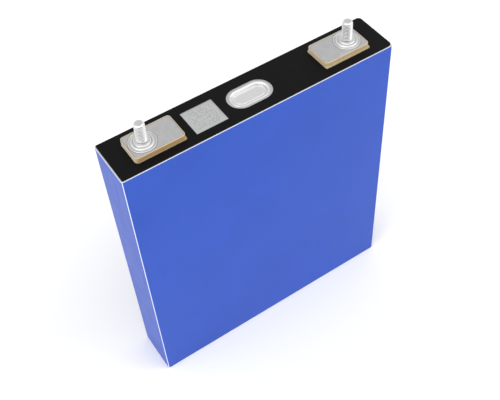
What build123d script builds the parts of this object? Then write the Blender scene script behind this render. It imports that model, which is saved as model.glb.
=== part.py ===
from build123d import *
import os

# Prismatic lithium battery cell with two welded M6 terminal studs.
# Units are millimetres. +Z is up. The origin is the centre of the underside of the outer film.
# X runs along the wide side, from the negative terminal (-X) to the positive one (+X).
# Y runs through the thickness, and the front broad face looks along -Y.

# ---------------------------------------------------------------- outer case
CELL_WIDTH = 174.0
CELL_THICKNESS = 30.8
CASE_HEIGHT = 193.2
CASE_CORNER_R = 1.4
CASE_BOTTOM_R = 0.8
FILM = 0.2
CAN_WALL = 0.8
CAN_FLOOR = 1.2

# ---------------------------------------------------------------- lid and what lies on it
LID_THICKNESS = 2.5
LID_WELD_GAP = 0.05
SHEET_THICKNESS = 0.4
SHEET_SIZE = (173.0, 30.0)
SHEET_CENTRE = (0.3, 0.25)
SHEET_LEFT_CORNER_R = 0.7
SHEET_RIGHT_CORNER_R = 2.5
SHEET_CUT_GAP = 0.2
CODE_WINDOW_CENTRE_X = -29.0
CODE_WINDOW = (19.6, 18.6)

# ---------------------------------------------------------------- safety vent
VENT_WINDOW = (27.4, 16.7)
VENT_CUP = (24.2, 13.4)
VENT_CUP_WALL = 1.1
VENT_RIM_RISE = 0.25
VENT_RIM_R = 0.2
VENT_SEAT_DEPTH = 1.3
VENT_STEP_WIDTH = 0.55
VENT_STEP_DEPTH = 0.45
VENT_FLOOR = 0.3
VENT_LEDGE = 1.6
VENT_SCORE_INSET = 2.7
VENT_SCORE_WIDTH = 0.4
VENT_SCORE_DEPTH = 0.12

# ---------------------------------------------------------------- electrolyte fill port
FILL_X = 27.0
FILL_HOLE_R = 1.6
FILL_CAP_R = 4.0
FILL_CAP_THICKNESS = 0.6

# ---------------------------------------------------------------- terminals
TERMINAL_X = 59.85
FRAME_SIZE = (29.8, 18.1)
FRAME_RISE = 3.5
FRAME_FLOOR = 1.2
FRAME_WALL = 0.35
FRAME_CORNER_R = 2.0
FRAME_RIM_R = 0.15
# low ridge along the foot of each frame's +X end, with tighter corners than the frame's own.
# On the positive frame it runs along the front as well.
FRAME_TOE = 0.35
FRAME_TOE_RISE = 1.2
FRAME_TOE_CORNER_R = 0.8
PLATE_GAP = 0.1
PLATE_RECESS = 0.08
PLATE_EDGE_CHAMFER = 0.15
STUD_X = 65.8
STUD_R = 3.0
STUD_TOP_RISE = 17.1
STUD_TIP_CHAMFER = 0.8
# radius and thickness of each step of the stud's foot, from the plate upwards
STUD_FOOT_STEPS = ((7.8, 0.45), (6.2, 0.60), (4.7, 0.50))
STUD_FOOT_RECESS = 0.25
POST_R = 4.0
POST_GAP = 0.05
POST_FLANGE_R = 7.0
POST_FLANGE_THICKNESS = 1.3
SEAL_WALL = 0.95
SEAL_FLANGE_R = 6.5

# ---------------------------------------------------------------- inside the can
INSULATOR_THICKNESS = 1.5
INSULATOR_X = (30.0, 84.0)
INSULATOR_DEPTH = 27.0
INSULATOR_RIB = 1.2
COLLECTOR_THICKNESS = 1.2
COLLECTOR_X = (36.0, 78.0)
COLLECTOR_DEPTH = 23.0
COLLECTOR_CORNER_R = 2.0
TAB_CENTRE_X = 58.0
TAB_WIDTH = 36.0
TAB_THICKNESS = 0.8
TAB_OUTER_Y = 10.8
TAB_INNER_Y = 2.0
BAG_GAP = 0.2
BAG = 0.2
BAG_TOP = 184.0
SUPPORT_SIZE = (168.0, 26.4)
SUPPORT_THICKNESS = 1.0
SUPPORT_CORNER_R = 2.0
SUPPORT_HOLE_R = 2.0
SUPPORT_HOLE_SPACING = (14.0, 12.0)
SUPPORT_HOLE_COUNT = (11, 2)

# ---------------------------------------------------------------- wound cores
CORE_LENGTH = 168.6
CORE_THICKNESS = 13.3
CORE_TURNS = 5
CORE_START_R = 0.45
CORE_CENTRE_Y = 6.85
CORE_FOOT_GAP = 0.1
CORE_TOP = 181.0
LAYER_GAP = 0.04
# name, thickness of the layer, and how far its edges stay inside the separators' edges
CORE_LAYERS = (
    ("inner_separator", 0.10, 0.0),
    ("anode", 0.35, 1.0),
    ("outer_separator", 0.10, 0.0),
    ("cathode", 0.40, 2.0),
)

# ---------------------------------------------------------------- heights worked out from the above
TOE_LENGTH = FRAME_SIZE[0] / 2 + FRAME_TOE
# centre and size of the toe's outline under the negative (-1) and the positive (+1) frame
TOE = {
    -1: ((-TERMINAL_X + TOE_LENGTH / 2, 0), (TOE_LENGTH, FRAME_SIZE[1])),
    1: (
        (TERMINAL_X + FRAME_TOE / 2, -FRAME_TOE / 2),
        (FRAME_SIZE[0] + FRAME_TOE, FRAME_SIZE[1] + FRAME_TOE),
    ),
}
CAN_SIZE = (CELL_WIDTH - 2 * FILM, CELL_THICKNESS - 2 * FILM)
CAVITY_SIZE = (CAN_SIZE[0] - 2 * CAN_WALL, CAN_SIZE[1] - 2 * CAN_WALL)
CAN_CORNER_R = CASE_CORNER_R - FILM
CAVITY_CORNER_R = CAN_CORNER_R - CAN_WALL / 2
CAVITY_FLOOR_Z = FILM + CAN_FLOOR
LID_TOP = CASE_HEIGHT
LID_UNDERSIDE = LID_TOP - LID_THICKNESS
SHEET_TOP = LID_TOP + SHEET_THICKNESS
FRAME_TOP = SHEET_TOP + FRAME_RISE
PLATE_BOTTOM = LID_TOP + FRAME_FLOOR
PLATE_TOP = FRAME_TOP - PLATE_RECESS
STUD_BOTTOM = PLATE_TOP - STUD_FOOT_RECESS
STUD_TOP = SHEET_TOP + STUD_TOP_RISE
INSULATOR_BOTTOM = LID_UNDERSIDE - INSULATOR_THICKNESS
POST_BOTTOM = INSULATOR_BOTTOM - POST_FLANGE_THICKNESS
COLLECTOR_BOTTOM = POST_BOTTOM - COLLECTOR_THICKNESS
LAYER_PITCH = sum(thickness + LAYER_GAP for _, thickness, _ in CORE_LAYERS)
CORE_STRAIGHT = CORE_LENGTH - CORE_THICKNESS
SUPPORT_BOTTOM = CAVITY_FLOOR_Z + BAG_GAP + BAG
CORE_FOOT = SUPPORT_BOTTOM + SUPPORT_THICKNESS + CORE_FOOT_GAP

os.makedirs("parts", exist_ok=True)


def save(piece, name):
    piece.part.label = name
    export_step(piece.part, f"parts/{name}.step")


# ================================================================ outer film
# Thin plastic film over the four sides and the bottom, cut off level with the lid.
with BuildPart() as wrap_film:
    with BuildSketch(Plane.XY):
        RectangleRounded(CELL_WIDTH, CELL_THICKNESS, CASE_CORNER_R)
    extrude(amount=CASE_HEIGHT)
    fillet(wrap_film.faces().sort_by(Axis.Z)[0].edges(), CASE_BOTTOM_R)
    offset(amount=-FILM, openings=wrap_film.faces().sort_by(Axis.Z)[-1])
save(wrap_film, "wrap_film")

# ================================================================ can
# Deep-drawn aluminium box, open at the top.
with BuildPart() as can:
    with BuildSketch(Plane.XY.offset(FILM)):
        RectangleRounded(CAN_SIZE[0], CAN_SIZE[1], CAN_CORNER_R)
    extrude(amount=CASE_HEIGHT - FILM)
    fillet(can.faces().sort_by(Axis.Z)[0].edges(), CASE_BOTTOM_R - FILM)
    with BuildSketch(Plane.XY.offset(CAVITY_FLOOR_Z)):
        RectangleRounded(CAVITY_SIZE[0], CAVITY_SIZE[1], CAVITY_CORNER_R)
    extrude(amount=CASE_HEIGHT, mode=Mode.SUBTRACT)
save(can, "can")

# ================================================================ lid plate
# Aluminium plate welded into the mouth of the can, pierced for the posts, the vent and the fill port.
with BuildPart() as lid_plate:
    with BuildSketch(Plane.XY.offset(LID_UNDERSIDE)):
        RectangleRounded(
            CAVITY_SIZE[0] - 2 * LID_WELD_GAP, CAVITY_SIZE[1] - 2 * LID_WELD_GAP, CAVITY_CORNER_R
        )
    extrude(amount=LID_THICKNESS)
    with BuildSketch(Plane.XY.offset(LID_UNDERSIDE)):
        with Locations((-STUD_X, 0), (STUD_X, 0)):
            Circle(POST_R + POST_GAP + SEAL_WALL + POST_GAP)
        with Locations((FILL_X, 0)):
            Circle(FILL_HOLE_R)
        SlotOverall(VENT_CUP[0] - 2 * VENT_LEDGE, VENT_CUP[1] - 2 * VENT_LEDGE)
    extrude(amount=LID_THICKNESS, mode=Mode.SUBTRACT)
    with BuildSketch(Plane.XY.offset(LID_TOP)):
        SlotOverall(VENT_CUP[0] + 2 * LID_WELD_GAP, VENT_CUP[1] + 2 * LID_WELD_GAP)
    extrude(amount=-VENT_SEAT_DEPTH, mode=Mode.SUBTRACT)
    with BuildSketch(Plane.XY.offset(LID_TOP)):
        with Locations((FILL_X, 0)):
            Circle(FILL_CAP_R)
    extrude(amount=-FILL_CAP_THICKNESS, mode=Mode.SUBTRACT)
save(lid_plate, "lid_plate")

# ================================================================ safety vent
# Shallow obround cup with a rounded rim and a thin scored floor that bursts outwards.
with BuildPart() as vent_membrane:
    with BuildSketch(Plane.XY.offset(LID_TOP - VENT_SEAT_DEPTH)):
        SlotOverall(VENT_CUP[0], VENT_CUP[1])
    extrude(amount=VENT_SEAT_DEPTH + VENT_RIM_RISE)
    with BuildSketch(Plane.XY.offset(LID_TOP - VENT_STEP_DEPTH)):
        SlotOverall(VENT_CUP[0] - 2 * VENT_CUP_WALL, VENT_CUP[1] - 2 * VENT_CUP_WALL)
    extrude(amount=VENT_STEP_DEPTH + VENT_RIM_RISE, mode=Mode.SUBTRACT)
    with BuildSketch(Plane.XY.offset(LID_TOP - VENT_SEAT_DEPTH + VENT_FLOOR)):
        SlotOverall(
            VENT_CUP[0] - 2 * VENT_CUP_WALL - 2 * VENT_STEP_WIDTH,
            VENT_CUP[1] - 2 * VENT_CUP_WALL - 2 * VENT_STEP_WIDTH,
        )
    extrude(amount=VENT_SEAT_DEPTH, mode=Mode.SUBTRACT)
    fillet(vent_membrane.faces().sort_by(Axis.Z)[-1].edges(), VENT_RIM_R)
    with BuildSketch(Plane.XY.offset(LID_TOP - VENT_SEAT_DEPTH + VENT_FLOOR)):
        SlotOverall(VENT_CUP[0] - 2 * VENT_SCORE_INSET, VENT_CUP[1] - 2 * VENT_SCORE_INSET)
        SlotOverall(
            VENT_CUP[0] - 2 * VENT_SCORE_INSET - 2 * VENT_SCORE_WIDTH,
            VENT_CUP[1] - 2 * VENT_SCORE_INSET - 2 * VENT_SCORE_WIDTH,
            mode=Mode.SUBTRACT,
        )
    extrude(amount=-VENT_SCORE_DEPTH, mode=Mode.SUBTRACT)
save(vent_membrane, "vent_membrane")

# ================================================================ fill port
# Rubber plug pressed into the fill hole, with an aluminium disc welded over it.
with BuildPart() as fill_plug:
    with BuildSketch(Plane.XY.offset(LID_UNDERSIDE)):
        with Locations((FILL_X, 0)):
            Circle(FILL_HOLE_R - POST_GAP)
    extrude(amount=LID_THICKNESS - FILL_CAP_THICKNESS)
save(fill_plug, "fill_plug")

with BuildPart() as fill_cap:
    with BuildSketch(Plane.XY.offset(LID_TOP - FILL_CAP_THICKNESS)):
        with Locations((FILL_X, 0)):
            Circle(FILL_CAP_R - POST_GAP)
    extrude(amount=FILL_CAP_THICKNESS)
save(fill_cap, "fill_cap")

# ================================================================ top insulation sheet
# Black sheet stuck on the lid, cut out round the terminals, the vent and the marking area.
with BuildPart() as top_insulation_sheet:
    with BuildSketch(Plane.XY.offset(LID_TOP)) as sheet_shape:
        with Locations(SHEET_CENTRE):
            Rectangle(*SHEET_SIZE)
        sheet_corners = sheet_shape.vertices().group_by(Axis.X)
        fillet(sheet_corners[0], SHEET_LEFT_CORNER_R)
        fillet(sheet_corners[-1], SHEET_RIGHT_CORNER_R)
        with Locations((-TERMINAL_X, 0), (TERMINAL_X, 0)):
            RectangleRounded(
                FRAME_SIZE[0] + 2 * SHEET_CUT_GAP,
                FRAME_SIZE[1] + 2 * SHEET_CUT_GAP,
                FRAME_CORNER_R + SHEET_CUT_GAP,
                mode=Mode.SUBTRACT,
            )
        for toe_centre, toe_size in TOE.values():
            with Locations(toe_centre):
                RectangleRounded(
                    toe_size[0] + 2 * SHEET_CUT_GAP,
                    toe_size[1] + 2 * SHEET_CUT_GAP,
                    FRAME_TOE_CORNER_R + SHEET_CUT_GAP,
                    mode=Mode.SUBTRACT,
                )
        with Locations((CODE_WINDOW_CENTRE_X, 0)):
            Rectangle(CODE_WINDOW[0], CODE_WINDOW[1], mode=Mode.SUBTRACT)
        SlotOverall(VENT_WINDOW[0], VENT_WINDOW[1], mode=Mode.SUBTRACT)
    extrude(amount=SHEET_THICKNESS)
save(top_insulation_sheet, "top_insulation_sheet")


# ================================================================ terminals
def make_terminal_frame(side):
    """Plastic tub that holds the terminal plate off the lid. side is -1 or +1."""
    with BuildPart() as frame:
        with BuildSketch(Plane.XY.offset(LID_TOP)):
            with Locations((side * TERMINAL_X, 0)):
                RectangleRounded(FRAME_SIZE[0], FRAME_SIZE[1], FRAME_CORNER_R)
        extrude(amount=FRAME_TOP - LID_TOP)
        with BuildSketch(Plane.XY.offset(LID_TOP)):
            with Locations(TOE[side][0]):
                RectangleRounded(*TOE[side][1], FRAME_TOE_CORNER_R)
        extrude(amount=FRAME_TOE_RISE)
        with BuildSketch(Plane.XY.offset(PLATE_BOTTOM)):
            with Locations((side * TERMINAL_X, 0)):
                RectangleRounded(
                    FRAME_SIZE[0] - 2 * FRAME_WALL,
                    FRAME_SIZE[1] - 2 * FRAME_WALL,
                    FRAME_CORNER_R - FRAME_WALL / 2,
                )
        extrude(amount=FRAME_TOP, mode=Mode.SUBTRACT)
        with BuildSketch(Plane.XY.offset(LID_TOP)):
            with Locations((side * STUD_X, 0)):
                Circle(POST_R + POST_GAP)
        extrude(amount=FRAME_FLOOR, mode=Mode.SUBTRACT)
        fillet(frame.faces().sort_by(Axis.Z)[-1].outer_wire().edges(), FRAME_RIM_R)
    return frame


def make_terminal_plate(side):
    """Metal contact plate with a shallow round recess for the stud's foot and the hole for the post."""
    with BuildPart() as plate:
        with BuildSketch(Plane.XY.offset(PLATE_BOTTOM)):
            with Locations((side * TERMINAL_X, 0)):
                RectangleRounded(
                    FRAME_SIZE[0] - 2 * FRAME_WALL - 2 * PLATE_GAP,
                    FRAME_SIZE[1] - 2 * FRAME_WALL - 2 * PLATE_GAP,
                    FRAME_CORNER_R - FRAME_WALL / 2 - PLATE_GAP,
                )
        extrude(amount=PLATE_TOP - PLATE_BOTTOM)
        chamfer(plate.faces().sort_by(Axis.Z)[-1].edges(), PLATE_EDGE_CHAMFER)
        with BuildSketch(Plane.XY.offset(STUD_BOTTOM)):
            with Locations((side * STUD_X, 0)):
                Circle(STUD_FOOT_STEPS[0][0] + POST_GAP)
        extrude(amount=STUD_FOOT_RECESS, mode=Mode.SUBTRACT)
        with BuildSketch(Plane.XY.offset(PLATE_BOTTOM)):
            with Locations((side * STUD_X, 0)):
                Circle(POST_R + POST_GAP)
        extrude(amount=PLATE_TOP - PLATE_BOTTOM, mode=Mode.SUBTRACT)
    return plate


def make_terminal_stud(side):
    """M6 stud: a stepped foot that is welded down, and a plain shank at the thread's major diameter."""
    with BuildPart() as stud:
        step_bottom = STUD_BOTTOM
        for step_r, step_thickness in STUD_FOOT_STEPS:
            with BuildSketch(Plane.XY.offset(step_bottom)):
                with Locations((side * STUD_X, 0)):
                    Circle(step_r)
            extrude(amount=step_thickness)
            step_bottom += step_thickness
        with BuildSketch(Plane.XY.offset(step_bottom)):
            with Locations((side * STUD_X, 0)):
                Circle(STUD_R)
        extrude(amount=STUD_TOP - step_bottom)
        chamfer(stud.faces().sort_by(Axis.Z)[-1].edges(), STUD_TIP_CHAMFER)
    return stud


def make_terminal_post(side):
    """Rivet-like post that carries the current through the lid, with a foot flange below it."""
    with BuildPart() as post:
        with BuildSketch(Plane.XY.offset(POST_BOTTOM)):
            with Locations((side * STUD_X, 0)):
                Circle(POST_FLANGE_R)
        extrude(amount=POST_FLANGE_THICKNESS)
        with BuildSketch(Plane.XY.offset(INSULATOR_BOTTOM)):
            with Locations((side * STUD_X, 0)):
                Circle(POST_R)
        extrude(amount=STUD_BOTTOM - INSULATOR_BOTTOM)
    return post


def make_seal_ring(side):
    """Rubber bush between the post and the lid, with a flange squeezed under the lid."""
    with BuildPart() as ring:
        with BuildSketch(Plane.XY.offset(INSULATOR_BOTTOM)):
            with Locations((side * STUD_X, 0)):
                Circle(POST_R + POST_GAP + SEAL_WALL)
        extrude(amount=LID_TOP - INSULATOR_BOTTOM)
        with BuildSketch(Plane.XY.offset(INSULATOR_BOTTOM)):
            with Locations((side * STUD_X, 0)):
                Circle(SEAL_FLANGE_R)
        extrude(amount=INSULATOR_THICKNESS)
        with BuildSketch(Plane.XY.offset(INSULATOR_BOTTOM)):
            with Locations((side * STUD_X, 0)):
                Circle(POST_R + POST_GAP)
        extrude(amount=LID_TOP - INSULATOR_BOTTOM, mode=Mode.SUBTRACT)
    return ring


def make_lower_insulator(side):
    """Plastic plate under the lid, with a rib round its underside and the seal's hole in it."""
    length = INSULATOR_X[1] - INSULATOR_X[0]
    centre_x = side * (INSULATOR_X[0] + INSULATOR_X[1]) / 2
    with BuildPart() as insulator:
        with BuildSketch(Plane.XY.offset(INSULATOR_BOTTOM)):
            with Locations((centre_x, 0)):
                RectangleRounded(length, INSULATOR_DEPTH, INSULATOR_RIB)
            with Locations((side * STUD_X, 0)):
                Circle(SEAL_FLANGE_R + POST_GAP, mode=Mode.SUBTRACT)
        extrude(amount=INSULATOR_THICKNESS)
        with BuildSketch(Plane.XY.offset(POST_BOTTOM)):
            with Locations((centre_x, 0)):
                RectangleRounded(length, INSULATOR_DEPTH, INSULATOR_RIB)
                Rectangle(
                    length - 2 * INSULATOR_RIB, INSULATOR_DEPTH - 2 * INSULATOR_RIB, mode=Mode.SUBTRACT
                )
        extrude(amount=POST_FLANGE_THICKNESS)
    return insulator


def make_collector(side):
    """Flat metal bar that joins the foil tabs to the foot of the post."""
    with BuildPart() as collector:
        with BuildSketch(Plane.XY.offset(COLLECTOR_BOTTOM)):
            with Locations((side * (COLLECTOR_X[0] + COLLECTOR_X[1]) / 2, 0)):
                RectangleRounded(COLLECTOR_X[1] - COLLECTOR_X[0], COLLECTOR_DEPTH, COLLECTOR_CORNER_R)
        extrude(amount=COLLECTOR_THICKNESS)
    return collector


def make_tab(side, front):
    """Bundle of foil tabs that rises from a core and folds in under the collector. front is -1 or +1."""
    with BuildPart() as tab:
        with BuildSketch(Plane.YZ.offset(side * TAB_CENTRE_X)):
            with BuildLine():
                Polyline(
                    (front * TAB_OUTER_Y, CORE_TOP),
                    (front * TAB_OUTER_Y, COLLECTOR_BOTTOM),
                    (front * TAB_INNER_Y, COLLECTOR_BOTTOM),
                    (front * TAB_INNER_Y, COLLECTOR_BOTTOM - TAB_THICKNESS),
                    (front * (TAB_OUTER_Y - TAB_THICKNESS), COLLECTOR_BOTTOM - TAB_THICKNESS),
                    (front * (TAB_OUTER_Y - TAB_THICKNESS), CORE_TOP),
                    close=True,
                )
            make_face()
        extrude(amount=TAB_WIDTH / 2, both=True)
    return tab


for polarity, side in (("negative", -1), ("positive", 1)):
    save(make_terminal_frame(side), f"{polarity}_terminal_frame")
    save(make_terminal_plate(side), f"{polarity}_terminal_plate")
    save(make_terminal_stud(side), f"{polarity}_terminal_stud")
    save(make_terminal_post(side), f"{polarity}_terminal_post")
    save(make_seal_ring(side), f"{polarity}_seal_ring")
    save(make_lower_insulator(side), f"{polarity}_lower_insulator")
    save(make_collector(side), f"{polarity}_collector")
    save(make_tab(side, -1), f"{polarity}_tab_front")
    save(make_tab(side, 1), f"{polarity}_tab_back")

# ================================================================ insulating bag
# Thin plastic bag that keeps the cores off the can, open at the top.
with BuildPart() as insulating_bag:
    with BuildSketch(Plane.XY.offset(CAVITY_FLOOR_Z + BAG_GAP)):
        RectangleRounded(CAVITY_SIZE[0] - 2 * BAG_GAP, CAVITY_SIZE[1] - 2 * BAG_GAP, CAVITY_CORNER_R)
    extrude(amount=BAG_TOP - CAVITY_FLOOR_Z - BAG_GAP)
    with BuildSketch(Plane.XY.offset(SUPPORT_BOTTOM)):
        RectangleRounded(
            CAVITY_SIZE[0] - 2 * BAG_GAP - 2 * BAG,
            CAVITY_SIZE[1] - 2 * BAG_GAP - 2 * BAG,
            CAVITY_CORNER_R - BAG,
        )
    extrude(amount=BAG_TOP, mode=Mode.SUBTRACT)
save(insulating_bag, "insulating_bag")

# ================================================================ bottom support
# Plastic plate in the bottom of the bag, with a row of holes that lets the electrolyte through.
with BuildPart() as bottom_support:
    with BuildSketch(Plane.XY.offset(SUPPORT_BOTTOM)):
        RectangleRounded(SUPPORT_SIZE[0], SUPPORT_SIZE[1], SUPPORT_CORNER_R)
        with GridLocations(*SUPPORT_HOLE_SPACING, *SUPPORT_HOLE_COUNT):
            Circle(SUPPORT_HOLE_R, mode=Mode.SUBTRACT)
    extrude(amount=SUPPORT_THICKNESS)
save(bottom_support, "bottom_support")


# ================================================================ wound cores
def add_spiral(start_r):
    """Flattened spiral of half circles and straights, drawn in the active BuildLine.

    The half circles at +X are centred on the X axis and those at -X half a pitch below it, so the
    line runs on without corners and grows by one pitch in each turn.
    """
    half = CORE_STRAIGHT / 2
    for turn in range(CORE_TURNS):
        right_r = start_r + turn * LAYER_PITCH
        left_r = right_r + LAYER_PITCH / 2
        left_y = -LAYER_PITCH / 2
        ThreePointArc((half, -right_r), (half + right_r, 0), (half, right_r))
        Line((half, right_r), (-half, right_r))
        ThreePointArc((-half, right_r), (-half - left_r, left_y), (-half, left_y - left_r))
        Line((-half, left_y - left_r), (half, left_y - left_r))


def make_core_layer(centre_y, start_r, thickness, edge_inset):
    """One wound sheet of a core, standing on edge, between two spirals of the same pitch."""
    half = CORE_STRAIGHT / 2
    end_r = start_r + CORE_TURNS * LAYER_PITCH
    with BuildPart() as layer:
        with BuildSketch(Plane((0, centre_y + LAYER_PITCH / 2, CORE_FOOT + edge_inset))):
            with BuildLine():
                add_spiral(start_r)
                add_spiral(start_r + thickness)
                Line((half, -start_r), (half, -start_r - thickness))
                Line((half, -end_r), (half, -end_r - thickness))
            make_face()
        extrude(amount=CORE_TOP - CORE_FOOT - 2 * edge_inset)
    return layer


for core_name, centre_y in (("front_core", -CORE_CENTRE_Y), ("back_core", CORE_CENTRE_Y)):
    layer_r = CORE_START_R
    for layer_name, thickness, edge_inset in CORE_LAYERS:
        save(make_core_layer(centre_y, layer_r, thickness, edge_inset), f"{core_name}_{layer_name}")
        layer_r += thickness + LAYER_GAP
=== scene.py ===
import math

import bmesh
import bpy
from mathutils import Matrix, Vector
from mathutils.geometry import tessellate_polygon


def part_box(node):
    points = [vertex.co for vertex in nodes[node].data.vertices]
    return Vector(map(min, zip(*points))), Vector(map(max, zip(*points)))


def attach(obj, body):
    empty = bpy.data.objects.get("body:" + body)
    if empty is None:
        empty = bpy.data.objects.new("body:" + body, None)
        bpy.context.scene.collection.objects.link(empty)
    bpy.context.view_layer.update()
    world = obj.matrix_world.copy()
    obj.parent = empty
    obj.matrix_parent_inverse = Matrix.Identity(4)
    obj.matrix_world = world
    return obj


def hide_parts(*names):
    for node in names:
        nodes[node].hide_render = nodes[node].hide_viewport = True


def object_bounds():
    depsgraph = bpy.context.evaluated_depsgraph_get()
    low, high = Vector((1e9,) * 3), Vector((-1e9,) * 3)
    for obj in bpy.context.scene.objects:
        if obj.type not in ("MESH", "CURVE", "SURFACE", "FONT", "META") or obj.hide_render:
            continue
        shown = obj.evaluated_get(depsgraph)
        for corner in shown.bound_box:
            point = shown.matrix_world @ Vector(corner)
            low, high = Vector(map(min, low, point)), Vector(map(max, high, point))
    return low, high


# Looks of a prismatic battery cell. Shapes are written in millimetres and turned into metres
# when a mesh is made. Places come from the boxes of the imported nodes.
MM = 0.001

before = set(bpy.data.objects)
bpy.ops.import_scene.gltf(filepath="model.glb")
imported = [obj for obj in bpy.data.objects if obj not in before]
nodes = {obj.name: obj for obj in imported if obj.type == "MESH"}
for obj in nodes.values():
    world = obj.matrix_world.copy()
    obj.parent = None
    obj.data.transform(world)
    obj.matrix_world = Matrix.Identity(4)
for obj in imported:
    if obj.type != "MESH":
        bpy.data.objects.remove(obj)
cad_low, cad_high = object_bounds()


def box_mm(node):
    """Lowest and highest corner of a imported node, in millimetres."""
    low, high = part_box(node)
    return low / MM, high / MM


def centre_of(node):
    """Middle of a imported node's box in plan, in millimetres."""
    low, high = box_mm(node)
    return ((low.x + high.x) / 2, (low.y + high.y) / 2)


# ================================================================ shapes
HOLD = 0.25  # how far from a bend the row of points lies that keeps the flat beside it flat
SHORT_SIDE = 6 * HOLD  # a side no longer than this gets no such points
SHORT_RUN = 3 * HOLD  # the same for a run of a profile
ROUND_SIDES = 64
MERGE_DISTANCE = 1e-4
ROUNDING = 1e-3  # more than a height can be off by rounding
SHARP_DEG = 38


def outline(half_x, half_y, right_r, left_r=None, centre=(0.0, 0.0), stops_y=(), steps=8):
    """Anticlockwise loop of (point, outward normal) round a rectangle with rounded corners.

    The corners at +X have right_r and those at -X left_r. stops_y are extra places for points
    along the two sides that run along Y.
    """
    left_r = right_r if left_r is None else left_r
    along_x = hold_stops(-half_x + left_r, half_x - right_r)
    loop = []
    for corner, (sign_x, sign_y) in enumerate(((1, 1), (-1, 1), (-1, -1), (1, -1))):
        radius = right_r if sign_x > 0 else left_r
        turn_centre = Vector((sign_x * (half_x - radius), sign_y * (half_y - radius)))
        for step in range(steps + 1):
            angle = math.pi / 2 * (corner + step / steps)
            normal = Vector((math.cos(angle), math.sin(angle)))
            loop.append((turn_centre + radius * normal, normal))
        flat_y = half_y - radius
        along_y = sorted([*(s for s in stops_y if abs(s) < flat_y), *hold_stops(-flat_y, flat_y)])
        if corner == 0:
            loop += [(Vector((x, half_y)), Vector((0, 1))) for x in reversed(along_x)]
        elif corner == 1:
            loop += [(Vector((-half_x, y)), Vector((-1, 0))) for y in reversed(along_y)]
        elif corner == 2:
            loop += [(Vector((x, -half_y)), Vector((0, -1))) for x in along_x]
        else:
            loop += [(Vector((half_x, y)), Vector((1, 0))) for y in along_y]
    return [(point + Vector(centre), normal) for point, normal in loop]


def hold_stops(start, end):
    """Places of the extra points that keep a side flat, unless it is short."""
    return [start + HOLD, end - HOLD] if end - start > SHORT_SIDE else []


def ring_at(loop, inset, z):
    """The loop moved inwards by inset, at height z."""
    return [(*(point - normal * inset), z) for point, normal in loop]


def circle_at(radius, z, centre):
    """Ring of points round centre, at height z."""
    turns = [2 * math.pi * k / ROUND_SIDES for k in range(ROUND_SIDES)]
    return [(centre[0] + radius * math.cos(a), centre[1] + radius * math.sin(a), z) for a in turns]


def round_profile(points, steps=4):
    """Rounds the corners of a line of (a, z, radius), and adds rows that keep its flats flat."""
    rounded = []
    for k, (a, z, radius) in enumerate(points):
        here = Vector((a, z))
        if radius == 0 or k in (0, len(points) - 1):
            rounded.append(here)
            continue
        before = (Vector(points[k - 1][:2]) - here).normalized()
        after = (Vector(points[k + 1][:2]) - here).normalized()
        half_angle = before.angle(after) / 2
        middle = here + (before + after).normalized() * radius / math.sin(half_angle)
        start = here + before * radius / math.tan(half_angle) - middle
        end = here + after * radius / math.tan(half_angle) - middle
        for step in range(steps + 1):
            rounded.append(middle + start.lerp(end, step / steps).normalized() * radius)
    held = [rounded[0]]
    for last, here in zip(rounded, rounded[1:]):
        run = here - last
        if run.length > SHORT_RUN:
            held += [last + run.normalized() * HOLD, here - run.normalized() * HOLD]
        held.append(here)
    return [tuple(p) for p in held]


def add_rings(bm, rings):
    """Joins rings with the same number of points by quads, and returns their rows of vertices."""
    rows = [[bm.verts.new(point) for point in ring] for ring in rings]
    for low, high in zip(rows, rows[1:]):
        for k in range(len(low)):
            after = (k + 1) % len(low)
            bm.faces.new((low[k], low[after], high[after], high[k]))
    return rows


def fill_between(bm, *rows):
    """Flat surface between one outer row and the rows of its holes."""
    verts = [vert for row in rows for vert in row]
    for corners in tessellate_polygon([[vert.co for vert in row] for row in rows]):
        bm.faces.new([verts[k] for k in corners])


def add_tone(bm, tone_at):
    """Stores a number from 0 to 1 at each vertex for the material to read, mostly where shade or
    light is painted.
    """
    tone = bm.verts.layers.float.new("tone")
    for vert in bm.verts:
        vert[tone] = min(1.0, max(0.0, tone_at(vert.co)))


def make_piece(name, bm, material, stands_for, sharp_deg=SHARP_DEG):
    """Turns the millimetre mesh into a piece that rides on the only body."""
    bmesh.ops.remove_doubles(bm, verts=bm.verts, dist=MERGE_DISTANCE)
    bmesh.ops.scale(bm, vec=(MM, MM, MM), verts=bm.verts)
    bmesh.ops.recalc_face_normals(bm, faces=bm.faces)
    mesh = bpy.data.meshes.new(name)
    bm.to_mesh(mesh)
    bm.free()
    mesh.polygons.foreach_set("use_smooth", [True] * len(mesh.polygons))
    mesh.set_sharp_from_angle(angle=math.radians(sharp_deg))
    mesh.materials.append(material)
    piece = bpy.data.objects.new(name, mesh)
    bpy.context.scene.collection.objects.link(piece)
    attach(piece, "root")
    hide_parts(stands_for)


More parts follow.
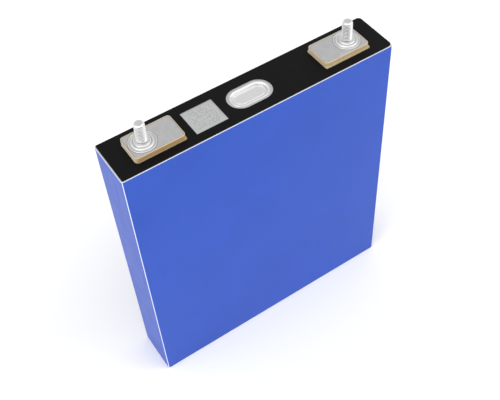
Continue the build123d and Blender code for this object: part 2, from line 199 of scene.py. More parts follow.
# ================================================================ materials
class Shader:
    """One material: a Principled shader and short ways to add the nodes that feed it."""

    def __init__(self, name, roughness=0.5, metallic=0.0, specular=0.5):
        self.material = bpy.data.materials.new(name)
        self.material.use_nodes = True
        self.tree = self.material.node_tree
        self.tree.nodes.clear()
        output = self.tree.nodes.new("ShaderNodeOutputMaterial")
        self.bsdf = self.tree.nodes.new("ShaderNodeBsdfPrincipled")
        self.bsdf.inputs["Metallic"].default_value = metallic
        self.bsdf.inputs["Roughness"].default_value = roughness
        self.bsdf.inputs["Specular IOR Level"].default_value = specular
        self.tree.links.new(self.bsdf.outputs["BSDF"], output.inputs["Surface"])
        self.place = self.tree.nodes.new("ShaderNodeTexCoord").outputs["Object"]

    def feed(self, socket, value):
        """Links value to socket if it comes from a node, and otherwise sets it."""
        if isinstance(value, bpy.types.NodeSocket):
            self.tree.links.new(value, socket)
        elif isinstance(value, tuple) and len(value) == 3 and socket.type == "RGBA":
            socket.default_value = (*value, 1.0)
        else:
            socket.default_value = value

    def math(self, operation, a, b=0.0, clamp=False):
        node = self.tree.nodes.new("ShaderNodeMath")
        node.operation = operation
        node.use_clamp = clamp
        self.feed(node.inputs[0], a)
        self.feed(node.inputs[1], b)
        return node.outputs[0]

    def vector_math(self, operation, a, b):
        node = self.tree.nodes.new("ShaderNodeVectorMath")
        node.operation = operation
        self.feed(node.inputs[0], a)
        self.feed(node.inputs[1], b)
        return node.outputs[0]

    def stretched(self, factors):
        """Place on the object, squeezed along an axis so that a noise becomes streaks."""
        return self.vector_math("MULTIPLY", self.place, factors)

    def noise(self, size_mm, detail, vector=None, distortion=0.0):
        node = self.tree.nodes.new("ShaderNodeTexNoise")
        node.inputs["Scale"].default_value = 1.0 / (size_mm * MM)
        node.inputs["Detail"].default_value = detail
        node.inputs["Distortion"].default_value = distortion
        self.feed(node.inputs["Vector"], self.place if vector is None else vector)
        return node.outputs["Fac"]

    def cells(self, size_mm):
        node = self.tree.nodes.new("ShaderNodeTexVoronoi")
        node.inputs["Scale"].default_value = 1.0 / (size_mm * MM)
        self.feed(node.inputs["Vector"], self.place)
        return node.outputs["Distance"]

    def between(self, value, low, high, to_low=0.0, to_high=1.0):
        """Maps value from low..high to to_low..to_high, and holds it there beyond both ends."""
        node = self.tree.nodes.new("ShaderNodeMapRange")
        self.feed(node.inputs["Value"], value)
        for socket, number in zip(node.inputs[1:5], (low, high, to_low, to_high)):
            socket.default_value = number
        return node.outputs["Result"]

    def mix(self, factor, a, b):
        node = self.tree.nodes.new("ShaderNodeMix")
        node.data_type = "RGBA"
        self.feed(node.inputs["Factor"], factor)
        self.feed(node.inputs[6], a)
        self.feed(node.inputs[7], b)
        return node.outputs[2]

    def attribute(self, name):
        node = self.tree.nodes.new("ShaderNodeAttribute")
        node.attribute_name = name
        return node.outputs["Fac"]

    def colour(self, value):
        self.feed(self.bsdf.inputs["Base Color"], value)

    def roughness(self, value):
        self.feed(self.bsdf.inputs["Roughness"], value)

    def bump(self, height, depth_mm, strength):
        node = self.tree.nodes.new("ShaderNodeBump")
        node.inputs["Strength"].default_value = strength
        node.inputs["Distance"].default_value = depth_mm * MM
        self.feed(node.inputs["Height"], height)
        self.tree.links.new(node.outputs["Normal"], self.bsdf.inputs["Normal"])


FILM_BLUES = ((0.0190, 0.070, 0.412), (0.0205, 0.076, 0.446))
FILM_HIGHLIGHT_AND_WHITENED = (0.92, 0.96, 1.0)


def film_material():
    """Glossy blue plastic film, with a painted highlight along its vertical bends and its top rim,
    and whitened along the flaps' cut edges.
    """
    s = Shader("blue_film", specular=0.23)
    shade = s.between(s.noise(38.0, 2.0), 0.3, 0.7)
    blue = s.mix(shade, *FILM_BLUES)
    # the tone attribute gives the painted highlight on the bends and top rim, and the whitened
    # flap edges
    highlight_and_flap_edge = s.attribute("tone")
    patchy = s.between(s.noise(1.3, 2.0), 0.2, 0.8, 0.86, 1.0)
    white_share = s.math("MULTIPLY", highlight_and_flap_edge, patchy, clamp=True)
    s.colour(s.mix(white_share, blue, FILM_HIGHLIGHT_AND_WHITENED))
    scuffs = s.between(s.noise(5.0, 4.0, s.stretched((1.0, 1.0, 0.12))), 0.62, 0.75, 0.0, 0.07)
    s.roughness(s.math("ADD", s.between(s.noise(12.0, 3.0), 0.25, 0.75, 0.36, 0.42), scuffs))
    s.bump(s.noise(2.2, 3.0), 0.003, 0.5)
    return s.material


SHEET_BLACKS = ((0.0022, 0.0022, 0.0024), (0.0042, 0.0042, 0.0045))
SHEET_DUST = (0.03, 0.03, 0.032)


def sheet_material():
    """Matt black plastic sheet with a very fine grain and a little dust."""
    s = Shader("black_sheet", specular=0.11)
    shade = s.noise(7.0, 4.0)
    black = s.mix(shade, *SHEET_BLACKS)
    dust = s.between(s.noise(0.35, 2.0), 0.74, 0.80, 0.0, 0.5)
    s.colour(s.mix(dust, black, SHEET_DUST))
    s.roughness(s.between(s.noise(3.0, 3.0), 0.3, 0.7, 0.44, 0.56))
    s.bump(s.noise(0.16, 2.0), 0.006, 0.6)
    return s.material


SCRATCH_GRAIN = (1.0, 0.06, 1.0)
SCRATCH_WEIGHT = 3.0  # of the scratches in the bump, where the grain's is 1


def metal_material(name, light, dark, roughness, grain=(1.0, 1.0, 1.0), grain_mm=0.5,
                   mottle_mm=3.0, bump_mm=0.004, painted_shade=None):
    """Bare metal: mottled tone, streaked grain, a few fine scratches, and painted shade where the
    tone attribute says.
    """
    s = Shader(name, metallic=1.0)
    mottle = s.between(s.noise(mottle_mm, 4.0), 0.3, 0.7)
    streaks = s.noise(grain_mm, 3.0, s.stretched(grain))
    tone = s.math("MULTIPLY", mottle, s.between(streaks, 0.25, 0.75, 0.55, 1.0))
    metal = s.mix(tone, dark, light)
    # painted shade colour, mixed in by the tone attribute
    if painted_shade:
        metal = s.mix(s.attribute("tone"), metal, painted_shade)
    s.colour(metal)
    lines = s.noise(0.9, 2.0, s.stretched(SCRATCH_GRAIN), 0.6)
    scratch = s.between(lines, 0.66, 0.70, 0.0, 0.12)
    rough = s.between(streaks, 0.2, 0.8, roughness - 0.06, roughness + 0.08)
    s.roughness(s.math("ADD", rough, scratch))
    s.bump(s.math("ADD", streaks, s.math("MULTIPLY", scratch, -SCRATCH_WEIGHT)), bump_mm, 0.5)
    return s.material


LID_METALS = ((0.72, 0.725, 0.73), (0.86, 0.86, 0.86))
CODE_CENTRE_X = -29.0
CODE_WINDOW = (19.6, 18.6)
CODE_HALF = 7.2  # half the width of the marked patch
CODE_CELL = 0.8
CODE_BARE_SHARE = 0.52  # share of the cells that stay bare
CODE_STRENGTH = 0.7
CODE_COLOUR = (0.52, 0.525, 0.53)


def lid_material():
    """Lid metal. A patch of made-up square cells is laser marked in the square window."""
    s = Shader("lid_metal", metallic=1.0)
    mottle = s.between(s.noise(2.6, 4.0), 0.3, 0.7)
    streaks = s.noise(0.5, 3.0, s.stretched((0.12, 1.0, 1.0)))
    bare = s.mix(s.math("MULTIPLY", mottle, streaks), *LID_METALS)
    from_centre = s.vector_math("SUBTRACT", s.place, (CODE_CENTRE_X * MM, 0.0, 0.0))
    snapped = s.vector_math("SNAP", from_centre, (CODE_CELL * MM, CODE_CELL * MM, 1.0))
    dots = s.tree.nodes.new("ShaderNodeTexWhiteNoise")
    per_cell = 1.0 / (CODE_CELL * MM)
    s.feed(dots.inputs["Vector"], s.vector_math("MULTIPLY", snapped, (per_cell,) * 3))
    marked = s.math("GREATER_THAN", dots.outputs["Value"], CODE_BARE_SHARE)
    parts = s.tree.nodes.new("ShaderNodeSeparateXYZ")
    s.feed(parts.inputs[0], from_centre)
    inside_x = s.math("LESS_THAN", s.math("ABSOLUTE", parts.outputs["X"]), CODE_HALF * MM)
    inside_y = s.math("LESS_THAN", s.math("ABSOLUTE", parts.outputs["Y"]), CODE_HALF * MM)
    inside = s.math("MULTIPLY", inside_x, inside_y)
    mark = s.math("MULTIPLY", s.math("MULTIPLY", marked, inside), CODE_STRENGTH)
    s.colour(s.mix(mark, bare, CODE_COLOUR))
    rough = s.between(streaks, 0.2, 0.8, 0.36, 0.48)
    s.roughness(s.math("ADD", rough, s.math("MULTIPLY", mark, 0.3)))
    s.bump(s.math("SUBTRACT", streaks, mark), 0.006, 0.5)
    return s.material


def plastic_material(name, light, dark, roughness, grain_mm=0.3, waxy=0.0, bloom=0.0, painted_light_and_pale=None):
    """Moulded plastic: soft clouds of tone, a fine eroded skin, and paler where the tone attribute
    says, which on the tubs is mostly painted light.
    """
    s = Shader(name)
    body = s.mix(s.between(s.noise(4.5, 3.0), 0.3, 0.7), dark, light)
    # paler colour mixed in by the tone attribute: painted light on the tubs' rims and -X sides,
    # and a paler toe
    if painted_light_and_pale:
        body = s.mix(s.attribute("tone"), body, painted_light_and_pale)
    s.colour(body)
    s.roughness(s.between(s.noise(1.6, 3.0), 0.3, 0.7, roughness - 0.05, roughness + 0.07))
    s.bump(s.noise(grain_mm, 3.0), 0.006, 0.5)
    s.bsdf.inputs["Sheen Weight"].default_value = bloom
    s.bsdf.inputs["Sheen Roughness"].default_value = 0.5
    s.bsdf.inputs["Sheen Tint"].default_value = (1.0, 0.93, 0.80, 1.0)
    s.bsdf.inputs["Subsurface Weight"].default_value = waxy
    s.bsdf.inputs["Subsurface Radius"].default_value = (1.0, 0.6, 0.3)
    s.bsdf.inputs["Subsurface Scale"].default_value = 1.2 * MM
    return s.material


def coating_material(name, light, dark, roughness, speckle_mm):
    """Pressed powder coating or porous film: fine specks over soft clouds."""
    s = Shader(name, specular=0.3)
    clouds = s.between(s.noise(9.0, 3.0), 0.3, 0.7)
    specks = s.between(s.cells(speckle_mm), 0.1, 0.7)
    s.colour(s.mix(s.math("MULTIPLY", clouds, specks), dark, light))
    s.roughness(s.between(specks, 0.0, 1.0, roughness - 0.08, roughness + 0.06))
    s.bump(specks, 0.008, 0.5)
    return s.material


FILM = film_material()
BLACK = sheet_material()
LID = lid_material()
# light and dark tone, roughness, and then each surface's own grain and sizes
CAN = metal_material("can_metal", (0.96, 0.965, 0.97), (0.88, 0.885, 0.89), 0.34, (1.0, 1.0, 0.08))
VENT = metal_material("vent_metal", (0.97, 0.97, 0.97), (0.92, 0.92, 0.93), 0.42, mottle_mm=2.0,
                      painted_shade=(0.22, 0.22, 0.23))
PLATE = metal_material("plate_metal", (0.76, 0.76, 0.765), (0.67, 0.67, 0.685), 0.38,
                       (0.10, 1.0, 1.0), 0.4, 3.5, painted_shade=(0.10, 0.10, 0.10))
STUD = metal_material("stud_metal", (0.97, 0.97, 0.97), (0.90, 0.90, 0.90), 0.40, (1.0, 1.0, 0.3),
                      0.5, 1.5, 0.002, painted_shade=(0.03, 0.03, 0.032))
# the two tubs are one amber plastic; the positive tub's copy is painted paler, as painted light
TUB = {
    "negative": plastic_material("amber_plastic", (0.35, 0.192, 0.045), (0.295, 0.158, 0.035),
                                 0.50, waxy=0.12, bloom=0.8, painted_light_and_pale=(0.62, 0.50, 0.34)),
    "positive": plastic_material("amber_plastic_painted_paler", (0.42, 0.305, 0.132), (0.37, 0.265, 0.112),
                                 0.50, waxy=0.12, bloom=0.9, painted_light_and_pale=(0.60, 0.50, 0.36)),
}
RUBBER = plastic_material("seal_rubber", (0.020, 0.019, 0.018), (0.012, 0.012, 0.012), 0.62)
INNER = plastic_material("inner_plastic", (0.74, 0.74, 0.72), (0.64, 0.64, 0.62), 0.48)
BAG = plastic_material("bag_film", (0.62, 0.66, 0.70), (0.52, 0.56, 0.60), 0.30, 1.5)
COPPER = metal_material("copper", (0.93, 0.55, 0.40), (0.78, 0.40, 0.27), 0.30, (0.1, 1.0, 1.0))
ALUMINIUM = metal_material("inner_aluminium", (0.80, 0.80, 0.81), (0.68, 0.68, 0.70), 0.32,
                           (0.1, 1.0, 1.0))
ANODE = coating_material("anode_coating", (0.060, 0.060, 0.064), (0.032, 0.032, 0.035), 0.70, 0.12)
CATHODE = coating_material("cathode_coating", (0.036, 0.035, 0.034), (0.018, 0.018, 0.018),
                           0.66, 0.1)
SEPARATOR = coating_material("separator_film", (0.86, 0.86, 0.84), (0.76, 0.76, 0.75), 0.50, 0.15)

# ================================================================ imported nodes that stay
KEPT = {
    "can": CAN,
    "lid_plate": LID,
    "fill_plug": RUBBER,
    "fill_cap": ALUMINIUM,
    "insulating_bag": BAG,
    "bottom_support": INNER,
}
for polarity, inner_metal in (("negative", COPPER), ("positive", ALUMINIUM)):
    KEPT[f"{polarity}_terminal_post"] = inner_metal
    KEPT[f"{polarity}_collector"] = inner_metal
    KEPT[f"{polarity}_tab_front"] = inner_metal
    KEPT[f"{polarity}_tab_back"] = inner_metal
    KEPT[f"{polarity}_seal_ring"] = RUBBER
    KEPT[f"{polarity}_lower_insulator"] = INNER
for core in ("front_core", "back_core"):
    KEPT[f"{core}_inner_separator"] = SEPARATOR
    KEPT[f"{core}_outer_separator"] = SEPARATOR
    KEPT[f"{core}_anode"] = ANODE
    KEPT[f"{core}_cathode"] = CATHODE
for name, material in KEPT.items():
    mesh = nodes[name].data
    mesh.materials.clear()
    mesh.materials.append(material)

# ================================================================ outer film
CASE_CORNER_R = 1.4
CASE_BOTTOM_R = 0.8
FILM_THICKNESS = 0.1
FILM_OUTSIDE = 0.09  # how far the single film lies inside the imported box
FILM_INSIDE = FILM_OUTSIDE + FILM_THICKNESS
FILM_EDGE_R = 0.05
OVERLAP_OUTSIDE = 0.01
OVERLAP_EDGE_Y = -4.0  # cut edge of the upper layer, on the right narrow side
OVERLAP_EDGE_WIDTH = 0.04
OVERLAP_END_Y = 6.0  # cut edge of the layer below, which shows through as a soft step
OVERLAP_FADE = 0.8  # width of that soft step
RIGHT_SIDE_NORMAL = 0.99  # the right narrow side is where the outward normal's x is above this
RIM_HIGHLIGHT = 0.25  # height of the painted highlight band under the cut rim
RIM_FADE = 0.1
FLAP_START = 1.2  # where a flap under the cell begins, in from the side faces
FLAP_THICKNESS = 0.035
FLAP_EDGE = 0.35  # width of the whitened line along a flap's edge
FLAP_EDGE_WHITE = 0.8
# height of a flap's underside, how far it reaches past the middle, and 1 for the one folded in
# from the front or -1 for the one from the back
FLAPS = ((0.0, 3.0, 1), (0.045, 1.0, -1))
HIGHLIGHT_HALF_DEG = 8.0  # half of the turn of a vertical bend that gets the full painted highlight
HIGHLIGHT_FADE_DEG = 4.0


def overlap_share(point, normal):
    """0 where the film is single, 1 where it overlaps itself."""
    if normal.x < RIGHT_SIDE_NORMAL or point.y <= OVERLAP_EDGE_Y:
        return 0.0
    return min(1.0, max(0.0, (OVERLAP_END_Y - point.y) / OVERLAP_FADE))


def corner_highlight(normal):
    """Painted highlight: 1 along the middle of a vertical bend, 0 on the flat sides."""
    off_middle = abs(math.degrees(math.atan2(abs(normal.y), abs(normal.x))) - 45)
    return min(1.0, max(0.0, (HIGHLIGHT_HALF_DEG + HIGHLIGHT_FADE_DEG - off_middle) / HIGHLIGHT_FADE_DEG))


def add_flap(bm, high, bottom, far_y, sign):
    """One of the two long flaps folded in under the cell, cut off at a slant at both ends."""
    tone = bm.verts.layers.float["tone"]
    near_y = high.y - FLAP_START
    near_x = high.x - FLAP_START
    far_x = near_x - near_y - far_y
    rings = []
    for inset, z in ((FLAP_EDGE, 0.0), (0.0, 0.0), (0.0, FLAP_THICKNESS)):
        # along X, the sharp corners move in by more than inset, and the blunt ones by less
        near = (near_x - inset * (1 + math.sqrt(2)), inset - near_y)
        far = (far_x - inset * (math.sqrt(2) - 1), far_y - inset)
        ring = [(-near[0], near[1]), near, far, (-far[0], far[1])]
        rings.append([(x, sign * y, bottom + z) for x, y in ring])
    rows = add_rings(bm, rings)
    bm.faces.new(rows[0])
    bm.faces.new(rows[-1])
    for row, white_share in zip(rows, (0.0, FLAP_EDGE_WHITE, FLAP_EDGE_WHITE)):
        for vert in row:
            vert[tone] = white_share


def make_film():
    """Thin film round the sides and under the bottom, with its seam, flaps, and a painted
    highlight along its vertical bends and top rim.
    """
    _, high = box_mm("wrap_film")
    top = high.z
    seam_stops = (OVERLAP_EDGE_Y, OVERLAP_EDGE_Y + OVERLAP_EDGE_WIDTH,
                  OVERLAP_END_Y - OVERLAP_FADE, OVERLAP_END_Y)
    loop = outline(high.x, high.y, CASE_CORNER_R, stops_y=seam_stops, steps=16)
    seam_depth = FILM_OUTSIDE - OVERLAP_OUTSIDE
    profile = round_profile([
        (CASE_CORNER_R, FILM_OUTSIDE, 0),
        (FILM_OUTSIDE, FILM_OUTSIDE, CASE_BOTTOM_R),
        (FILM_OUTSIDE, top - RIM_HIGHLIGHT - RIM_FADE, 0),
        (FILM_OUTSIDE, top - RIM_HIGHLIGHT, 0),
        (FILM_OUTSIDE, top, FILM_EDGE_R),
        (FILM_INSIDE, top, 0),
        (FILM_INSIDE, FILM_INSIDE, CASE_BOTTOM_R - FILM_THICKNESS),
        (CASE_CORNER_R, FILM_INSIDE, 0),
    ])
    bm = bmesh.new()
    tone = bm.verts.layers.float.new("tone")
    rings = []
    for inset, z in profile:
        raised = seam_depth if inset < (FILM_OUTSIDE + FILM_INSIDE) / 2 else 0.0
        rings.append([
            (*(point - normal * (inset - raised * overlap_share(point, normal))), z)
            for point, normal in loop
        ])
    rows = add_rings(bm, rings)
    for row in rows:
        for vert, (_, normal) in zip(row, loop):
            # painted highlight along the top rim and down the middle of the vertical bends
            rim_painted_light = 1.0 if vert.co.z >= top - RIM_HIGHLIGHT - ROUNDING else 0.0
            vert[tone] = max(rim_painted_light, corner_highlight(normal))
    bm.faces.new(rows[0])
    bm.faces.new(rows[-1])
    for bottom, far_y, sign in FLAPS:
        add_flap(bm, high, bottom, far_y, sign)
    make_piece("blue_film_wrap", bm, FILM, "wrap_film")


make_film()

# ================================================================ black sheet
SHEET_LEFT_CORNER_R = 0.7
SHEET_RIGHT_CORNER_R = 2.5
SHEET_EDGE_R = 0.1
WINDOW_CORNER_R = 0.25
FRAME_CORNER_R = 2.0
FRAME_TOE_CORNER_R = 0.8
SHEET_CUT_GAP = 0.2  # between the sheet's cut edge and a terminal frame
VENT_MARGIN = (1.6, 1.65)  # how much further than the vent its window reaches, along X and Y


def make_sheet():
    """Flat sheet on the lid, with the cut-outs of the terminals, the code and the vent."""
    low, high = box_mm("top_insulation_sheet")
    bm = bmesh.new()
    half = (high - low) / 2
    loops = [outline(
        half.x, half.y, SHEET_RIGHT_CORNER_R, SHEET_LEFT_CORNER_R,
        centre=centre_of("top_insulation_sheet"), steps=12,
    )]
    for polarity, left_r in (("negative", FRAME_CORNER_R), ("positive", FRAME_TOE_CORNER_R)):
        node = f"{polarity}_terminal_frame"
        frame_low, frame_high = box_mm(node)
        half = (frame_high - frame_low) / 2
        loops.append(outline(
            half.x + SHEET_CUT_GAP, half.y + SHEET_CUT_GAP,
            FRAME_TOE_CORNER_R + SHEET_CUT_GAP, left_r + SHEET_CUT_GAP, centre=centre_of(node),
        ))
    loops.append(outline(
        CODE_WINDOW[0] / 2, CODE_WINDOW[1] / 2, WINDOW_CORNER_R,
        centre=(CODE_CENTRE_X, 0.0), steps=4,
    ))
    _, vent_high = box_mm("vent_membrane")
    half_y = vent_high.y + VENT_MARGIN[1]
    loops.append(outline(vent_high.x + VENT_MARGIN[0], half_y, half_y, steps=20))
    profile = round_profile([
        (0, low.z, 0), (0, high.z, SHEET_EDGE_R), (SHEET_EDGE_R + HOLD / 2, high.z, 0)
    ], steps=3)
    bottoms, tops = [], []
    for k, loop in enumerate(loops):
        into = 1 if k == 0 else -1  # the sheet lies inside its outline and outside its windows
        rows = add_rings(bm, [ring_at(loop, into * inset, z) for inset, z in profile])
        bottoms.append(rows[0])
        tops.append(rows[-1])
    fill_between(bm, *tops)
    fill_between(bm, *bottoms)
    make_piece("black_top_sheet", bm, BLACK, "top_insulation_sheet")


make_sheet()

# ================================================================ safety vent
VENT_UNDERSIDE = 3.0  # inset of the face that closes the underside
VENT_WALL = 1.1
VENT_WALL_LEAN = 0.15
VENT_LOWER_LEAN = 0.1
VENT_STEP = 0.55
VENT_STEP_DROP = 0.7
VENT_STEP_R = 0.15
VENT_FLOOR = 0.3
VENT_SCORE = 2.65  # how far in from the rim the score line begins
VENT_SCORE_LEAN = 0.1
VENT_SCORE_WIDTH = 0.25
VENT_SCORE_DEPTH = 0.12
VENT_CROWN = ((3.6, 0.02, 0.1), (4.8, 0.05, 0))  # inset, height over the floor, and bend radius
VENT_LOWER_SHADE = 0.55  # painted shade in the middle of the wall under the step
VENT_SHADE_SPREAD = 0.25  # how much darker the painted shade is at its +X end, and how much paler at its -X end
VENT_UPPER_SHADE = 0.15


def make_vent():
    """Obround pressed cup: rounded rim, a step inside it, scored floor with a faint crown."""
    low, high = box_mm("vent_membrane")
    floor = low.z + VENT_FLOOR
    step = high.z - VENT_STEP_DROP
    score = VENT_SCORE + VENT_SCORE_LEAN
    score_end = score + VENT_SCORE_WIDTH
    loop = outline(high.x, high.y, high.y, steps=20)
    profile = round_profile([
        (VENT_UNDERSIDE, low.z, 0),
        (0, low.z, 0.1),
        (0, high.z, 0.22),
        (VENT_WALL - VENT_WALL_LEAN, high.z, 0.3),
        (VENT_WALL, step, VENT_STEP_R),
        (VENT_WALL + VENT_STEP, step, VENT_STEP_R),
        (VENT_WALL + VENT_STEP + VENT_LOWER_LEAN, floor, 0.2),
        (VENT_SCORE, floor, 0.06),
        (score, floor - VENT_SCORE_DEPTH, 0.05),
        (score_end, floor - VENT_SCORE_DEPTH, 0.05),
        (score_end + VENT_SCORE_LEAN, floor, 0.06),
        *((inset, floor + rise, radius) for inset, rise, radius in VENT_CROWN),
    ])
    bm = bmesh.new()
    rows = add_rings(bm, [ring_at(loop, inset, z) for inset, z in profile])
    bm.faces.new(rows[0])
    bm.faces.new(rows[-1])

    above_crown = floor + 0.08
    below_step = step - 0.02
    below_rim = high.z - 0.1

    # painted shade: the wall under the step darker towards +X, and the wall above the step a
    # little darker
    def tone_at(co):
        if above_crown < co.z < below_step:
            return VENT_LOWER_SHADE + VENT_SHADE_SPREAD * co.x / high.x
        return VENT_UPPER_SHADE if step <= co.z < below_rim else 0.0

    add_tone(bm, tone_at)
    make_piece("vent_cup", bm, VENT, "vent_membrane")


make_vent()

# ================================================================ terminals
FRAME_WALL = 0.35
FRAME_INNER_R = 1.82
FRAME_RIM_R = 0.15
FRAME_WELL_R = 0.1
FRAME_RIM_PAINTED_LIGHT = 0.7  # height of the painted light band under the rim
PAINTED_LIGHT_SIDE = {"negative": 0.75, "positive": 0.35}  # how much painted light the tub's -X side gets
PALE_TOE = 0.3
FRAME_TOE = 0.35
FRAME_TOE_RISE = 1.2
TOE_TONE_END = 0.05  # how far under the toe's top its paler tone ends
POST_HOLE_R = 4.05
PLATE_CORNER_R = 1.72
PLATE_EDGE_R = 0.15
PLATE_EDGE_WIDTH = 0.3
# painted shade along the plate's eased edge and down in the stud's recess
PLATE_EDGE_SHADE = 0.7
RECESS_R = 7.85
RECESS_DEPTH = 0.25
RECESS_BEVEL = (0.14, 0.1)  # width and depth of the recess's sloped edge
RECESS_HOLD = 0.32  # how far out from the recess the plate's top is held flat


def make_terminal_frame(polarity):
    """Moulded tub with a rounded rim, a toe along its foot, and the post's hole.

    The toe is along the +X end, and on the positive frame also along the front.
    """
    node = f"{polarity}_terminal_frame"
    low, high = box_mm(node)
    plate_low, _ = box_mm(f"{polarity}_terminal_plate")
    front_toe, left_r = 0.0, FRAME_CORNER_R
    if polarity == "positive":
        front_toe, left_r = FRAME_TOE, FRAME_TOE_CORNER_R
    half_x = (high.x - low.x - FRAME_TOE) / 2
    half_y = (high.y - low.y - front_toe) / 2
    centre = centre_of(f"{polarity}_terminal_plate")
    outside = outline(half_x, half_y, FRAME_CORNER_R, centre=centre)
    inside = outline(half_x - FRAME_WALL, half_y - FRAME_WALL, FRAME_INNER_R, centre=centre)
    foot = outline(
        half_x + FRAME_TOE / 2, half_y + front_toe / 2, FRAME_TOE_CORNER_R, left_r,
        centre=(centre[0] + FRAME_TOE / 2, centre[1] - front_toe / 2),
    )
    toe_top = low.z + FRAME_TOE_RISE
    wall = round_profile([
        (0.0, toe_top, 0),
        (0.0, high.z - FRAME_RIM_PAINTED_LIGHT, 0),
        (0.0, high.z, FRAME_RIM_R),
        (FRAME_WALL / 2, high.z, 0),
    ])
    well = round_profile([
        (-FRAME_WALL / 2, high.z, 0), (0.0, high.z, FRAME_WELL_R), (0.0, plate_low.z, 0)
    ])
    bm = bmesh.new()
    rings = [ring_at(foot, 0.0, low.z), ring_at(foot, 0.0, toe_top - FRAME_TOE / 2)]
    rings += [ring_at(outside, inset, z) for inset, z in wall[:-1]]
    rings += [ring_at(inside, inset, z) for inset, z in well[1:]]
    rows = add_rings(bm, rings)
    stud = centre_of(f"{polarity}_terminal_stud")
    hole = add_rings(bm, [circle_at(POST_HOLE_R, z, stud) for z in (plate_low.z, low.z)])
    fill_between(bm, rows[-1], hole[0])
    fill_between(bm, rows[0], hole[1])
    left = centre[0] - half_x

    # painted light: paler band under the rim and on the -X side; also paler along the toe
    def tone_at(co):
        rim_painted_light = 1.0 - (high.z - co.z) / FRAME_RIM_PAINTED_LIGHT
        side = PAINTED_LIGHT_SIDE[polarity] * (1.0 - (co.x - left) / FRAME_CORNER_R)
        return max(rim_painted_light, side, PALE_TOE if co.z < toe_top - TOE_TONE_END else 0.0)

    add_tone(bm, tone_at)
    make_piece(f"{polarity}_frame_tub", bm, TUB[polarity], node)


def make_terminal_plate(polarity):
    """Contact plate with eased edges and the round recess of the stud's foot."""
    node = f"{polarity}_terminal_plate"
    low, high = box_mm(node)
    centre = centre_of(node)
    stud = centre_of(f"{polarity}_terminal_stud")
    loop = outline((high.x - low.x) / 2, (high.y - low.y) / 2, PLATE_CORNER_R, centre=centre)
    side = round_profile([(0, low.z, 0), (0, high.z, PLATE_EDGE_R), (PLATE_EDGE_WIDTH, high.z, 0)])
    recess = round_profile([
        (RECESS_R + RECESS_HOLD, high.z, 0),
        (RECESS_R + RECESS_BEVEL[0], high.z, 0),
        (RECESS_R, high.z - RECESS_BEVEL[1], 0),
        (RECESS_R, high.z - RECESS_DEPTH, 0),
        (POST_HOLE_R, high.z - RECESS_DEPTH, 0),
        (POST_HOLE_R, low.z, 0),
    ])
    bm = bmesh.new()
    tone = bm.verts.layers.float.new("tone")
    rows = add_rings(bm, [ring_at(loop, inset, z) for inset, z in side])
    # painted shade, fading in from the eased edge, and full in the recess
    for row, (inset, _) in zip(rows, side):
        for vert in row:
            vert[tone] = PLATE_EDGE_SHADE * (1 - inset / PLATE_EDGE_WIDTH)
    hole = add_rings(bm, [circle_at(radius, z, stud) for radius, z in recess])
    for row in hole[1:]:
        for vert in row:
            vert[tone] = PLATE_EDGE_SHADE
    fill_between(bm, rows[-1], hole[0])
    fill_between(bm, rows[0], hole[-1])
    make_piece(f"{polarity}_contact_plate", bm, PLATE, node)


THREAD_PITCH = 1.0
THREAD_CREST_R = 3.0
THREAD_ROOT_R = 2.387
THREAD_END_R = 2.35
TIP_CHAMFER = 0.8
TIP_RING = 0.2
STUD_SHARP_DEG = 32
# painted shade on the tip, the underside, the groove round the collar, the steps, and the collar
TIP_SHADE = 0.12
UNDERSIDE_SHADE = 1.0
GROOVE_SHADE = 0.4
STEP_SHADE = 0.26
COLLAR_SHADE = 0.04
# radii and heights over the foot's underside that part those painted shades
UNDERSIDE_TOP = 0.2
GROOVE_RADII = (4.7, 5.15)
GROOVE_TOP = 0.95
STEP_OUTER_R = 7.3
STEP_TOP = 0.8
THREAD_START = 0.01  # over the collar
SPARE_TURNS = 2  # turns beyond each end, which are pressed flat there
# share of the pitch and share of the thread's depth, from crest to crest
THREAD_PROFILE = (
    (0.0, 0.0), (0.125, 0.0), (0.27, 0.47), (0.42, 0.95),
    (0.5625, 1.0), (0.705, 0.95), (0.855, 0.47),
)
# radius, height over the foot's underside, and bend radius, from the foot's edge to the shank
FOOT_PROFILE = (
    (7.80, 0.00, 0),
    (7.80, 0.45, 0.16),
    (7.36, 0.45, 0.12),
    (7.26, 0.34, 0.08),
    (6.30, 0.34, 0.06),
    (6.15, 1.05, 0.22),
    (5.25, 1.05, 0.12),
    (5.10, 0.82, 0.08),
    (4.80, 0.82, 0.08),
    (4.62, 1.55, 0.20),
    (THREAD_END_R, 1.55, 0),
)


def add_thread(bm, centre, bottom, top):
    """Helical thread between two heights, cut off flat at both, with a chamfered tip."""
    per_turn = len(THREAD_PROFILE)
    turns = int((top - bottom) / THREAD_PITCH) + 2 * SPARE_TURNS + 1
    tip_r = THREAD_CREST_R - TIP_CHAMFER
    rows = []
    for row in range(turns * per_turn):
        turn, step = divmod(row, per_turn)
        share, depth = THREAD_PROFILE[step]
        radius = THREAD_CREST_R - depth * (THREAD_CREST_R - THREAD_ROOT_R)
        points = []
        for k in range(ROUND_SIDES):
            z = bottom + THREAD_PITCH * (turn - SPARE_TURNS + share + k / ROUND_SIDES)
            r = min(radius, tip_r + max(0.0, top - z))
            if z <= bottom:
                z, r = bottom, THREAD_END_R
            elif z >= top:
                z, r = top, tip_r
            angle = 2 * math.pi * k / ROUND_SIDES
            points.append(bm.verts.new(
                (centre[0] + r * math.cos(angle), centre[1] + r * math.sin(angle), z)
            ))
        rows.append(points)
    for row in range(len(rows) - 1):
        for k in range(ROUND_SIDES - 1):
            bm.faces.new((rows[row][k], rows[row][k + 1], rows[row + 1][k + 1], rows[row + 1][k]))
        if row + 1 + per_turn < len(rows):
            last, after = rows[row][-1], rows[row + per_turn][0]
            bm.faces.new((last, after, rows[row + 1 + per_turn][0], rows[row + 1][-1]))


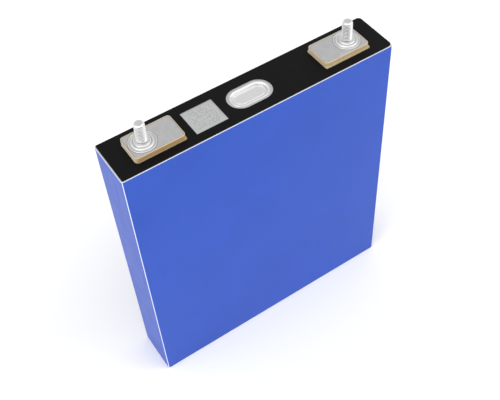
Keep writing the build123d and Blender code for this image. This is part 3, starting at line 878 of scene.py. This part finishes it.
def make_terminal_stud(polarity):
    """Welded foot with a bead, a step and a groove round the collar, and a threaded shank."""
    node = f"{polarity}_terminal_stud"
    low, high = box_mm(node)
    centre = centre_of(node)
    bm = bmesh.new()
    foot = round_profile(FOOT_PROFILE)
    rows = add_rings(bm, [circle_at(r, low.z + z, centre) for r, z in foot])
    bm.faces.new(rows[0])
    collar_top = low.z + FOOT_PROFILE[-1][1]
    add_thread(bm, centre, collar_top, high.z)
    tip_r = THREAD_CREST_R - TIP_CHAMFER
    tip = add_rings(bm, [circle_at(r, high.z, centre) for r in (tip_r, tip_r - TIP_RING)])
    bm.faces.new(tip[-1])

    # painted shade: darker in the thread roots, under the foot, in the groove round the collar, on
    # the steps and on the tip
    def tone_at(co):
        radius = math.hypot(co.x - centre[0], co.y - centre[1])
        if co.z >= high.z - TIP_CHAMFER:
            return TIP_SHADE
        if co.z > collar_top + THREAD_START:
            return ((THREAD_CREST_R - radius) / (THREAD_CREST_R - THREAD_ROOT_R)) ** 2
        rise = co.z - low.z
        if rise < UNDERSIDE_TOP:
            return UNDERSIDE_SHADE
        if GROOVE_RADII[0] < radius < GROOVE_RADII[1] and rise < GROOVE_TOP:
            return GROOVE_SHADE
        return STEP_SHADE if radius < STEP_OUTER_R and rise < STEP_TOP else COLLAR_SHADE

    add_tone(bm, tone_at)
    make_piece(f"{polarity}_threaded_stud", bm, STUD, node, STUD_SHARP_DEG)


for polarity in ("negative", "positive"):
    make_terminal_frame(polarity)
    make_terminal_plate(polarity)
    make_terminal_stud(polarity)

# ================================================================ floor, light and camera
# places from here on are in metres, as the scene has them
FLOOR_HALF = 6.0
FLOOR_DROP = 0.0001  # under the object, so that the two don't share a plane
FLOOR_TONES = ((0.955, 0.955, 0.955), (0.975, 0.975, 0.975))
LIGHT_SIZE = 0.9
LIGHT_TARGET = (0.0, 0.0, 0.12)


def make_floor():
    """Plain pale floor."""
    s = Shader("pale_floor", roughness=0.9, specular=0.1)
    s.colour(s.mix(s.noise(60.0, 3.0), *FLOOR_TONES))
    s.bump(s.noise(1.5, 2.0), 0.01, 0.2)
    mesh = bpy.data.meshes.new("floor")
    h = FLOOR_HALF
    z = cad_low.z - FLOOR_DROP
    mesh.from_pydata([(-h, -h, z), (h, -h, z), (h, h, z), (-h, h, z)], [], [(0, 1, 2, 3)])
    mesh.materials.append(s.material)
    floor = bpy.data.objects.new("floor", mesh)
    bpy.context.scene.collection.objects.link(floor)


def make_area_light(name, place, power):
    """Round soft light that points at the object."""
    data = bpy.data.lights.new(name, "AREA")
    data.shape = "DISK"
    data.size = LIGHT_SIZE
    data.energy = power
    light = bpy.data.objects.new(name, data)
    light.location = place
    aim = Vector(LIGHT_TARGET) - Vector(place)
    light.rotation_euler = aim.to_track_quat("-Z", "Y").to_euler()
    bpy.context.scene.collection.objects.link(light)


make_floor()
make_area_light("soft_key", (-1.25, -0.45, 0.95), 5.5)
make_area_light("soft_fill", (0.9, -0.6, 1.2), 4.5)

# The surroundings are white, and darker up behind the object, so that the bare metal on top
# shows its grey.
DARK_SIDE = Vector((0.32, 0.54, 0.78)).normalized()
DARK_FROM, DARK_FULL = 0.45, 0.97  # cosines of the angle from DARK_SIDE
WORLD_BRIGHT, WORLD_DARK = 1.25, 0.60
world = bpy.data.worlds.new("studio")
world.use_nodes = True
tree = world.node_tree
background = tree.nodes["Background"]
facing = tree.nodes.new("ShaderNodeVectorMath")
facing.operation = "DOT_PRODUCT"
facing.inputs[1].default_value = DARK_SIDE
tree.links.new(tree.nodes.new("ShaderNodeTexCoord").outputs["Generated"], facing.inputs[0])
level = tree.nodes.new("ShaderNodeMapRange")
level.interpolation_type = "SMOOTHSTEP"
for socket, number in zip(level.inputs[1:5], (DARK_FROM, DARK_FULL, WORLD_BRIGHT, WORLD_DARK)):
    socket.default_value = number
tree.links.new(facing.outputs["Value"], level.inputs["Value"])
tree.links.new(level.outputs["Result"], background.inputs["Strength"])
background.inputs["Color"].default_value = (1.0, 1.0, 1.0, 1.0)
bpy.context.scene.world = world

camera_data = bpy.data.cameras.new("camera")
camera_data.sensor_width = 36.0
camera_data.lens = 61.647
camera_data.clip_start = 0.01
camera_data.clip_end = 50.0
camera = bpy.data.objects.new("camera", camera_data)
camera.location = (-0.17256, -0.29010, 0.51572)
camera.rotation_euler = tuple(math.radians(a) for a in (39.167, 2.853, -33.518))
bpy.context.scene.collection.objects.link(camera)
bpy.context.scene.camera = camera
bpy.context.scene.view_settings.view_transform = "Standard"
